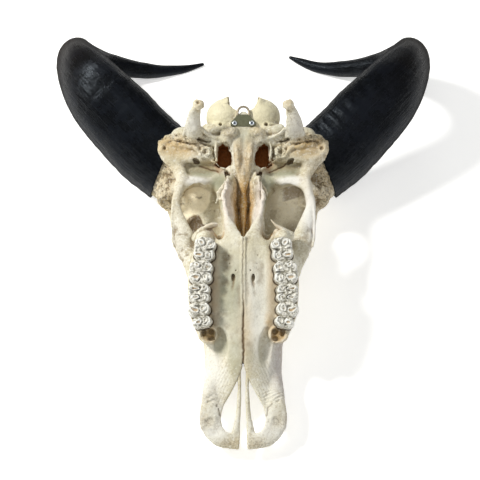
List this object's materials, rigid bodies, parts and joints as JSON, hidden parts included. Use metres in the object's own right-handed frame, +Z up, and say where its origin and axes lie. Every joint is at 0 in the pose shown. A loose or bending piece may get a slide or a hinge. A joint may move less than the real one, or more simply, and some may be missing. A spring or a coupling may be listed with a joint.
{
  "type": "cape buffalo skull",
  "caption": "Horned buffalo skull lying palate up on its nasal tips and both horns, with a small steel hanger plate between the condyles.",
  "frame": {"origin": "centre of the bounding box on the floor", "axes": "+Z up; -Y towards the snout, +Y towards the horns; +X to the animal's right side, as the skull lies on its back"},
  "size_m": [0.552, 0.6822, 0.1965],
  "materials": {
    "bone": "dry weathered bone, cream white with ochre stains",
    "horn": "black horn, dull with a soft sheen",
    "hanger_steel": "olive grey sheet steel",
    "screw_zinc": "bright zinc"
  },
  "bodies": {
    "root": {"cranium": "bone", "upper_jaw": "bone", "premaxilla_l": "bone", "premaxilla_r": "bone", "nasal_l": "bone", "nasal_r": "bone", "zygomatic_l": "bone", "zygomatic_r": "bone", "horn_l": "horn", "horn_r": "horn", "hanger_plate": "hanger_steel", "hanger_loop": "hanger_steel", "hanger_screw_l": "screw_zinc", "hanger_screw_r": "screw_zinc"}
  },
  "joints": []
}
